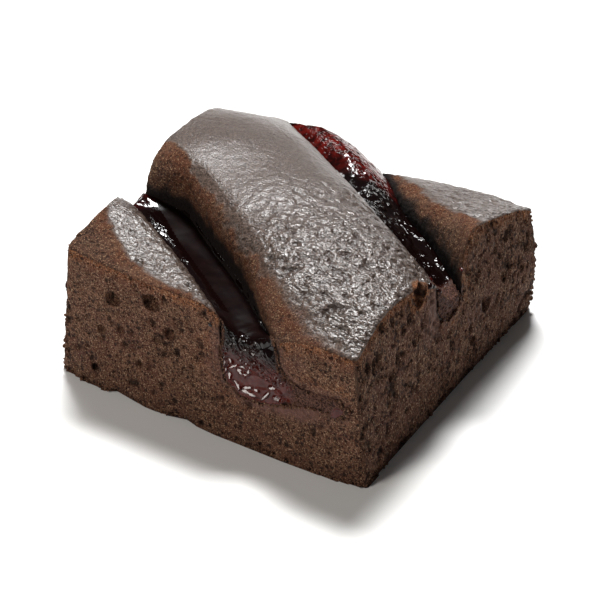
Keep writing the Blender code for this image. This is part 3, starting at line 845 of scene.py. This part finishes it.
def jam_mesh(settings, node, name):
    """The even mesh of one run of jam, swollen to meet the sponge. It is finer at the front cut, for the folds."""
    piece = copy_of(node, name)
    bpy.ops.object.mode_set(mode="EDIT")
    bpy.ops.mesh.select_all(action="SELECT")
    bpy.ops.transform.shrink_fatten(value=settings.swell * MM)
    bpy.ops.object.mode_set(mode="OBJECT")
    remesh(piece, settings.cell)
    change = piece.modifiers.new("Soft edges", "SMOOTH")
    change.iterations = 3
    apply_all(piece)
    if node == "jam_left":
        open_with(piece, lambda face: face.center.y < (2.0 - HALF_Y) * MM and face.center.x < 20.0 * MM)
        bpy.ops.mesh.subdivide(number_cuts=1)
        bpy.ops.object.mode_set(mode="OBJECT")
        move_points(piece, roll_front(points_of(piece), tree_of(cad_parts[node])))
    return piece


def build_jam(settings, node, name, surfaces):
    """One run of jam with a rippled wet surface. Its cut ends are smeared, and crumbs stick to their edges."""
    piece = jam_mesh(settings, node, name)
    is_left, is_right = node == "jam_left", node == "jam_right"
    points = points_of(piece)
    normals = normals_of(piece)
    s, t = points @ ALONG / MM, points @ ACROSS / MM
    x, y, height = (points / MM).T
    sponge_away, _ = near(tree_of(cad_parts["sponge"]), points, 2.5)
    edge = smooth(1.1, 0.3, sponge_away)

    # The cut ends: the front one of the left run, the right one of the right run, and the two hidden ones.
    front = smooth(3.0, 0.6, HALF_Y + y) * is_left
    end = smooth(3.4, 1.4, HALF_X - 3.0 * height / LEAN_HEIGHT - x) * is_right
    rear = smooth(4.4, 2.6, np.minimum(points[:, 0] - LOW[0], HIGH[1] - points[:, 1]) / MM)
    rear *= smooth(0.6, 0.3, np.abs(normals[:, 2]))
    spot_away = np.hypot(x - BARE_SPOT[0], height - BARE_SPOT[1])

    # Ripples along the troughs, with sugar on the slope towards the right loaf and in a few places on the left.
    top = smooth(0.3, 0.7, normals[:, 2])
    lengthwise = waves(points, (6.0, 0.8, 3.0), 5.0, True) * top
    streaky = smooth(0.0, 0.3, waves(points, (9.0, 6.0, 6.0), 13.0, True))
    lumps = waves(points, (3.0, 3.0, 3.0), 6.0)
    fine = waves(points, (0.9, 0.9, 0.9), 15.0)
    bulges = waves(points, (3.4, 3.4, 2.3), 14.0)
    slope = smooth(-30.0, -24.0, s) * smooth(0.02, 0.12, normals @ ACROSS) * top * is_right
    slope *= smooth(-0.1, 0.25, waves(points, (1.6, 1.6, 1.6), 18.0))
    glints = sum(
        np.exp(-(((s - along) / reach[0]) ** 2 + ((t - across) / reach[1]) ** 2)) for (along, across), reach in GLINTS
    ) * is_left
    lively = 0.1 + 2.2 * glints if is_left else 0.25 + 0.4 * streaky
    offset = settings.ripple * (lengthwise * lively + 0.35 * lumps + fine * (2.2 * slope + 0.8 * glints))
    offset += end * (0.2 * fine + 0.3 * waves(points, (1.6, 1.6, 1.6), 16.0) - 0.15)
    offset += rear * (0.2 * fine + 0.7 * bulges - 0.45)
    moved = points + normals * offset[:, None] * MM
    if is_left:
        fall = FALL * np.clip(t - FALL_LEFT, 0.0, FALL_REACH) * smooth(-33.0, -28.0, y)
    else:
        fall = FALL * np.clip(FALL_RIGHT - t, 0.0, FALL_REACH) * smooth(0.0, -8.0, s)
    moved[:, 2] -= fall * top * MM
    moved[:, 0] -= END_SINK * end * smooth(0.3, 0.8, normals[:, 0]) * MM
    faces_front = front * smooth(-0.3, -0.8, normals[:, 1])
    sunk = most(smooth(17.5, 20.0, x) * smooth(1.2, 2.2, spot_away), edge)
    front_height = settings.front_wave * (bulges - 0.1) + 0.08 * fine
    front_height = fold_front(np.column_stack((x, height)), front_height)
    moved[:, 1] += (FRONT_SINK * sunk - front_height) * faces_front * MM
    move_points(piece, moved)

    # Where light coming through the jam is painted on as red, where the knife smeared it, where crumbs stick, and
    # where sugar glitters.
    if is_right:
        thin = smooth(-12.0, -20.0, s + 1.3 * (19.0 - t) + 3.0 * lumps) * smooth(21.0, 25.0, height)
    else:
        thin = 0.55 * smooth(-20.0, -28.0, s)
    ragged = 0.6 * waves(points, (1.2, 1.2, 1.2), 17.0)
    tail = front * smooth(18.0, 20.5, x) * smooth(1.0, 2.0, spot_away)
    patches = smooth(0.0, 0.3, waves(points, (3.0, 3.0, 2.4), 19.0) - 0.05 * (height - 16.0))
    rim = (front + end + rear) * smooth(0.3, 0.8, edge + ragged)
    spray_away = height - SPRAY_START[1] + SPRAY_FALL * (x - SPRAY_START[0])
    spray = front * np.exp(-(spray_away / SPRAY_REACH) ** 2) * smooth(21.5, 18.0, x)
    store(
        piece,
        thin=thin,
        front=most(front * smooth(23.5, 17.5, height), end, rear * smooth(26.0, 18.0, height)),
        crumby=most(tail, 0.9 * end, rim, 0.8 * rear * patches),
        glitter=most(0.6 * slope, 0.6 * glints, spray, 0.25 * thin * is_right, 0.4 * rear),
    )
    for surface in surfaces:
        piece.data.materials.append(surface)
    if is_left:
        # The level faces deep in the trough get the shaded copy of the jam, as painted shade.
        still = (t > STILL_ACROSS) & (y > STILL_FRONT) | (y < STILL_STRIP[0]) & (height > STILL_STRIP[1])
        still &= normals[:, 2] > STILL_LEVEL
        for face in piece.data.polygons:
            face.material_index = int(still[list(face.vertices)].all())
    select_only(piece)
    bpy.ops.object.shade_smooth()
    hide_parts(node)
    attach(piece, "root")


def jam_material(settings):
    """Cherry jam, boiled sugar and fruit: almost black where it is deep, and painted red where light would come
    through it, as painted backlight, with the hard wet gloss of syrup. Where the knife crossed it, it is smeared and
    carries crumbs."""
    surface, tree = new_material("cherry jam")
    marks = ("thin", "front", "crumby", "glitter")
    mark = {name: add_node(tree, "Attribute", output="Fac", attribute_name=name) for name in marks}
    place = add_node(tree, "TexCoord", output="Object")
    shader = add_node(tree, "BsdfPrincipled").node
    add_node(tree, "OutputMaterial", {"Surface": shader.outputs[0]})
    cloud = add_node(tree, "TexNoise", {"Vector": place, "Scale": per_metre(1.4), "Detail": 2.0})
    fruit = add_node(tree, "TexNoise", {"Vector": place, "Scale": per_metre(0.7), "Detail": 2.0})
    crumbs = add_node(tree, "TexNoise", {"Vector": place, "Scale": per_metre(0.36), "Detail": 2.0})
    # Red painted in clouds where light comes through the jam: painted backlight.
    lit = add_node(tree, "MapRange", {0: cloud, 1: 0.36, 2: 0.62, 3: 0.15, 4: 1.0})
    lit = add_node(tree, "Math", {0: mark["thin"], 1: lit}, operation="MULTIPLY")
    inputs = {0: lit, 6: linear(settings.deep_colour), 7: linear(settings.backlit_colour)}
    colour = add_node(tree, "Mix", inputs, 2, data_type="RGBA")
    smear = add_node(tree, "MapRange", {0: cloud, 1: 0.3, 2: 0.62, 3: 0.45, 4: 1.0})
    smear = add_node(tree, "Math", {0: mark["front"], 1: smear}, operation="MULTIPLY")
    inputs = {0: smear, 6: colour, 7: linear(settings.smeared_colour)}
    colour = add_node(tree, "Mix", inputs, 2, data_type="RGBA")
    colour = lay_over(tree, colour, ((fruit, 0.6, 0.74, 0.55, "#0c0303"),))
    grade = add_node(tree, "MapRange", {0: crumbs, 1: 0.4, 2: 0.6, 3: 0.0, 4: 1.0})
    crumb = add_node(tree, "Mix", {0: grade, 6: linear("#22110c"), 7: linear("#6a4a3c")}, 2, data_type="RGBA")
    share = add_node(tree, "Math", {0: mark["crumby"], 1: 0.85}, operation="MULTIPLY")
    colour = add_node(tree, "Mix", {0: share, 6: colour, 7: crumb}, 2, data_type="RGBA")
    tree.links.new(colour, shader.inputs["Base Color"])
    rough = add_node(tree, "MapRange", {0: mark["crumby"], 1: 0.0, 2: 1.0, 3: 0.08, 4: 0.85})
    tree.links.new(rough, shader.inputs["Roughness"])
    shader.inputs["IOR"].default_value = 1.42
    shader.inputs["Specular IOR Level"].default_value = 0.38

    # Ripples that are finer than the mesh, in millimetres: strong where the sugar glitters.
    soft = add_node(tree, "TexNoise", {"Vector": place, "Scale": per_metre(1.1), "Detail": 1.0})
    slanting = add_node(
        tree, "Mapping", {"Vector": place, "Rotation": SUGAR_TURN, "Scale": (2.6, 1.0, 1.0)}, vector_type="TEXTURE"
    )
    sugar = add_node(tree, "TexNoise", {"Vector": slanting, "Scale": per_metre(0.62), "Detail": 1.0})
    relief = add_node(tree, "Math", {0: sugar, 1: mark["glitter"]}, operation="MULTIPLY")
    relief = add_node(tree, "Math", {0: relief, 1: 0.75}, operation="MULTIPLY")
    relief = add_node(tree, "Math", {0: soft, 1: 0.03, 2: relief}, operation="MULTIPLY_ADD")
    rubble = add_node(tree, "Math", {0: crumbs, 1: mark["crumby"]}, operation="MULTIPLY")
    relief = add_node(tree, "Math", {0: rubble, 1: 0.9, 2: relief}, operation="MULTIPLY_ADD")
    bump = add_node(tree, "Bump", {"Strength": 1.0, "Distance": MM, "Height": relief})
    tree.links.new(bump, shader.inputs["Normal"])
    return surface


def shaded_jam_material(settings):
    """A shaded copy of the same jam, for where it lies level deep in the trough: almost black, with its reflection
    nearly turned off, as painted shade."""
    surface, tree = new_material("cherry jam, shaded copy")
    shader = add_node(tree, "BsdfPrincipled").node
    add_node(tree, "OutputMaterial", {"Surface": shader.outputs[0]})
    place = add_node(tree, "TexCoord", output="Object")
    cloud = add_node(tree, "TexNoise", {"Vector": place, "Scale": per_metre(2.2), "Detail": 3.0})
    grade = add_node(tree, "MapRange", {0: cloud, 1: 0.4, 2: 0.7, 3: 0.0, 4: 1.0})
    inputs = {0: grade, 6: linear(settings.deep_colour), 7: linear("#150908")}
    colour = add_node(tree, "Mix", inputs, 2, data_type="RGBA")
    tree.links.new(colour, shader.inputs["Base Color"])
    shader.inputs["Roughness"].default_value = 0.3
    shader.inputs["Specular IOR Level"].default_value = 0.06
    return surface


# Bits of jam that the knife carried off: place, radius and how bright a red, which is painted light coming through
# them.
FLECKS = (
    ((-36.6, -34.0, 21.6), 0.9, 0.5), ((-36.8, -34.0, 20.0), 0.55, 0.35), ((-37.0, 11.5, 31.0), 0.7, 0.6),
    ((31.5, -0.5, 28.4), 0.75, 0.7), ((33.6, 1.9, 28.6), 0.5, 0.6), ((33.8, 1.6, 27.0), 0.4, 0.5),
    ((34.8, -7.6, 30.7), 0.9, 0.15), ((34.8, -4.6, 28.2), 0.7, 0.1), ((34.8, -6.0, 29.6), 0.6, 0.05),
    ((0.9, -34.5, 25.2), 0.5, 0.0),
)


def build_flecks(surface):
    """Small bits of jam on the cuts: flattened balls, roughened and pressed onto the sponge."""
    draw = random.Random(19)
    trees = [tree_of(bpy.data.objects[name]) for name in ("chocolate_sponge", "jam_run_left", "jam_run_right")]
    pieces = []
    for number, (place, radius, red) in enumerate(FLECKS):
        found = [tree.find_nearest(Vector(place) * MM) for tree in trees]
        middle, facing, _, _ = min(found, key=lambda hit: hit[3])
        middle = Vector(np.clip(middle, LOW + 0.8 * radius * MM, HIGH - 0.8 * radius * MM))
        deselect()
        bpy.ops.mesh.primitive_ico_sphere_add(subdivisions=3, radius=radius * MM, location=middle)
        fleck = bpy.context.object
        fleck.rotation_mode = "QUATERNION"
        fleck.rotation_quaternion = facing.to_track_quat("Z", "Y")
        fleck.scale = (draw.uniform(0.8, 1.2), draw.uniform(0.6, 1.1), 0.45)
        bpy.ops.object.mode_set(mode="EDIT")
        bpy.ops.transform.vertex_random(offset=0.16 * radius * MM, seed=number)
        bpy.ops.mesh.vertices_smooth(factor=0.5)
        bpy.ops.object.mode_set(mode="OBJECT")
        bpy.ops.object.transform_apply(location=True, rotation=True, scale=True)
        store(fleck, thin=np.full(len(fleck.data.vertices), red))
        pieces.append(fleck)
    deselect()
    for fleck in pieces:
        fleck.select_set(True)
    bpy.context.view_layer.objects.active = pieces[0]
    bpy.ops.object.join()
    flecks = bpy.context.object
    flecks.name = "jam_flecks"
    flecks.data.name = "jam_flecks"
    bpy.context.scene.cursor.location = (0.0, 0.0, 0.0)
    bpy.ops.object.origin_set(type="ORIGIN_CURSOR")
    flecks.data.materials.append(surface)
    move_points(flecks, points_of(flecks))
    bpy.ops.object.shade_smooth()
    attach(flecks, "root")


def crumb_seed():
    """One ragged crumb to copy: a small ball whose points are pushed about."""
    deselect()
    bpy.ops.mesh.primitive_ico_sphere_add(subdivisions=1, radius=1.0, location=(0.0, 0.0, 0.0))
    seed = bpy.context.object
    bpy.ops.object.mode_set(mode="EDIT")
    bpy.ops.transform.vertex_random(offset=0.3, seed=5)
    bpy.ops.object.mode_set(mode="OBJECT")
    return seed


def build_crumbs(settings, sponge):
    """Crumbs that cling to the cuts, most of them along the foot, the upright edges and the crust."""
    draw = random.Random(77)
    pieces = [sponge] + [bpy.data.objects[name] for name in ("jam_run_left", "jam_run_right")]
    points = np.concatenate([points_of(piece) for piece in pieces])
    normals = np.concatenate([normals_of(piece) for piece in pieces])
    skin, crust, seam, crumby = [
        np.concatenate([read(piece, name) for piece in pieces]) for name in ("skin", "crust", "seam", "crumby")
    ]
    on_sponge = np.arange(len(points)) < len(sponge.data.vertices)
    places = points / MM
    outside = HIGH[0] / MM - np.abs(places[:, 0]) < 3.4
    outside &= HIGH[1] / MM - np.abs(places[:, 1]) < 2.6
    upright = (np.abs(normals[:, 2]) < 0.6) & (skin < 0.1) & on_sponge
    far_edge = upright & (places[:, 0] > 30.0) & (places[:, 1] > 33.0)

    # How many of each kind, where they cling, their smallest and largest radius in millimetres, and how proud
    # they stand, as a share of the radius.
    groups = (
        (settings.foot_crumbs, upright & (places[:, 2] < 1.2), 0.18, 0.5, 0.2),
        (settings.edge_crumbs, upright & outside & (places[:, 2] > 1.0), 0.18, 0.45, 0.35),
        (settings.far_edge_crumbs, far_edge, 0.3, 0.85, 0.4),
        (settings.rim_crumbs, upright & (crust > 0.45), 0.14, 0.3, 0.2),
        (settings.face_crumbs, upright & (places[:, 2] > 1.0), 0.12, 0.28, 0.2),
        (settings.smear_crumbs // 2, upright & (seam > 0.5), 0.2, 0.48, 0.3),
        (settings.smear_crumbs // 2, ~on_sponge & (crumby > 0.5), 0.15, 0.4, 0.1),
        (settings.seam_crumbs, on_sponge & (seam > 0.3) & (places[:, 0] > 31.0), 0.25, 0.5, 0.2),
    )
    seed = crumb_seed()
    corners = np.array([vertex.co for vertex in seed.data.vertices])
    faces = [tuple(face.vertices) for face in seed.data.polygons]
    bpy.data.objects.remove(seed)
    all_corners, all_faces, crusts = [], [], []
    for amount, where, small, large, proud in groups:
        numbers = np.flatnonzero(where)
        for _ in range(amount):
            number = draw.choice(numbers)
            radius = small + (large - small) * draw.random() ** 2
            middle = points[number] + normals[number] * proud * radius * MM
            middle = np.clip(middle, LOW + 1.25 * radius * MM, HIGH - 1.25 * radius * MM)
            turn = Matrix.Rotation(draw.uniform(0.0, math.tau), 3, (draw.random(), draw.random(), 0.3))
            size = Matrix.Diagonal([radius * MM * draw.uniform(0.75, 1.2) for _ in range(3)])
            first = len(all_corners) * len(corners)
            all_corners.append(corners @ np.array(turn @ size).T + middle)
            all_faces += [tuple(first + corner for corner in face) for face in faces]
            crusts.append(np.full(len(corners), crust[number]))
    mesh = bpy.data.meshes.new("clinging_crumbs")
    mesh.from_pydata(np.clip(np.concatenate(all_corners), LOW, HIGH).tolist(), [], all_faces)
    crumbs = new_object("clinging_crumbs", mesh)
    store(crumbs, crust=np.concatenate(crusts))
    crumbs.data.materials.append(sponge.data.materials[0])
    select_only(crumbs)
    bpy.ops.object.shade_smooth()
    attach(crumbs, "root")


def toward(azimuth, elevation):
    """The direction from the square to something at this azimuth and height angle."""
    level = math.cos(elevation)
    return Vector((math.sin(azimuth) * level, -math.cos(azimuth) * level, math.sin(elevation)))


# The soft lamps: name, azimuth and height angle in degrees, distance and size in metres, power, colour.
LAMPS = (
    ("high back softbox", 211.5, 63.0, 1.3, (0.34, 0.26), 26.0, "#ffffff"),
    ("left back softbox", 236.0, 42.0, 1.3, (0.2, 0.12), 1.2, "#ffffff"),
    ("low back softbox", 196.0, 8.0, 1.2, (0.24, 0.1), 0.5, "#ffffff"),
    ("front softbox", -25.0, 35.0, 1.2, (0.3, 0.3), 5.8, "#fffaf4"),
)

# The place in the square that the lamps point at, in metres, and how strong the dim room's own light is.
LAMP_AIM = Vector((0.0, 0.0, 0.015))
ROOM_LIGHT = 0.06


def build_stage(settings):
    """The plain floor, the soft lamps, the dim room and the camera."""
    deselect()
    bpy.ops.mesh.primitive_plane_add(size=6.0, location=(0.0, 0.0, -0.05 * MM))
    floor = bpy.context.object
    floor.name = "floor"
    surface, tree = new_material("matt studio floor")
    place = add_node(tree, "TexCoord", output="Object")
    grain = add_node(tree, "TexNoise", {"Vector": place, "Scale": per_metre(240.0), "Detail": 1.0})
    rough = add_node(tree, "MapRange", {0: grain, 3: 0.85, 4: 0.95})
    inputs = {"Base Color": linear(settings.floor_colour), "Roughness": rough}
    add_node(tree, "OutputMaterial", {"Surface": add_node(tree, "BsdfPrincipled", inputs)})
    floor.data.materials.append(surface)

    for name, azimuth, elevation, distance, size, power, colour in LAMPS:
        back = toward(math.radians(azimuth), math.radians(elevation))
        lamp = bpy.data.lights.new(name, "AREA")
        lamp.shape = "RECTANGLE"
        lamp.size, lamp.size_y = size
        lamp.energy = power
        lamp.color = linear(colour)[:3]
        item = new_object(name, lamp)
        item.location = back * distance + LAMP_AIM
        item.rotation_euler = back.to_track_quat("Z", "Y").to_euler()

    world = bpy.data.worlds.new("dim room")
    world.use_nodes = True
    world.node_tree.nodes["Background"].inputs["Color"].default_value = linear("#ffffff")
    world.node_tree.nodes["Background"].inputs["Strength"].default_value = ROOM_LIGHT
    scene = bpy.context.scene
    scene.world = world
    scene.view_settings.view_transform = "Standard"
    scene.view_settings.look = "None"

    back = toward(settings.azimuth, settings.elevation)
    right = Vector((math.cos(settings.azimuth), math.sin(settings.azimuth), 0.0))
    place = Matrix((right, back.cross(right), back)).transposed().to_4x4()
    place.translation = settings.place
    camera = bpy.data.cameras.new("camera")
    camera.sensor_width = 36.0
    camera.lens = settings.lens
    camera.clip_start = 0.01
    item = new_object("camera", camera)
    item.matrix_world = place
    scene.camera = item


class BROWNIE_OT_sponge(bpy.types.Operator):
    """Makes the sponge, with its open crumb and its baked skin"""
    bl_idname = "brownie.sponge"
    bl_label = "Sponge"

    def execute(self, context):
        build_sponge(context.scene.brownie_sponge)
        return {"FINISHED"}


class BROWNIE_OT_crumbs(bpy.types.Operator):
    """Makes the crumbs that cling to the sponge's cuts"""
    bl_idname = "brownie.crumbs"
    bl_label = "Crumbs"

    def execute(self, context):
        build_crumbs(context.scene.brownie_crumbs, bpy.data.objects["chocolate_sponge"])
        return {"FINISHED"}


class BROWNIE_OT_jam(bpy.types.Operator):
    """Makes the two runs of cherry jam and the flecks of it on the cuts"""
    bl_idname = "brownie.jam"
    bl_label = "Jam"

    def execute(self, context):
        settings = context.scene.brownie_jam
        surface = jam_material(settings)
        build_jam(settings, "jam_left", "jam_run_left", (surface, shaded_jam_material(settings)))
        build_jam(settings, "jam_right", "jam_run_right", (surface,))
        build_flecks(surface)
        return {"FINISHED"}


class BROWNIE_OT_stage(bpy.types.Operator):
    """Makes the floor, the lamps and the camera"""
    bl_idname = "brownie.stage"
    bl_label = "Stage"

    def execute(self, context):
        build_stage(context.scene.brownie_stage)
        return {"FINISHED"}


class BROWNIE_PT_panel(bpy.types.Panel):
    """Lists each piece's settings and the button that makes it"""
    bl_idname = "BROWNIE_PT_panel"
    bl_label = "Chocolate brownie"
    bl_space_type = "VIEW_3D"
    bl_region_type = "UI"
    bl_category = "Brownie"

    def draw(self, context):
        for name in ("sponge", "crumbs", "jam", "stage"):
            settings = getattr(context.scene, "brownie_" + name)
            box = self.layout.box()
            for field in type(settings).__annotations__:
                box.prop(settings, field)
            box.operator("brownie." + name)


GROUPS = {
    "brownie_sponge": BrownieSponge,
    "brownie_crumbs": BrownieCrumbs,
    "brownie_jam": BrownieJam,
    "brownie_stage": BrownieStage,
}
OPERATORS = (BROWNIE_OT_sponge, BROWNIE_OT_crumbs, BROWNIE_OT_jam, BROWNIE_OT_stage)
CLASSES = (*GROUPS.values(), *OPERATORS, BROWNIE_PT_panel)


def register():
    """Makes the settings, the operators and the panel known to Blender."""
    for item in CLASSES:
        bpy.utils.register_class(item)
    for name, group in GROUPS.items():
        setattr(bpy.types.Scene, name, bpy.props.PointerProperty(type=group))


def unregister():
    """Takes them out again."""
    for name in GROUPS:
        delattr(bpy.types.Scene, name)
    for item in reversed(CLASSES):
        bpy.utils.unregister_class(item)


def main():
    """Makes the brownie and its stage."""
    register()
    bpy.ops.brownie.sponge()
    bpy.ops.brownie.jam()
    bpy.ops.brownie.crumbs()
    bpy.ops.brownie.stage()


if __name__ == "__main__":
    main()
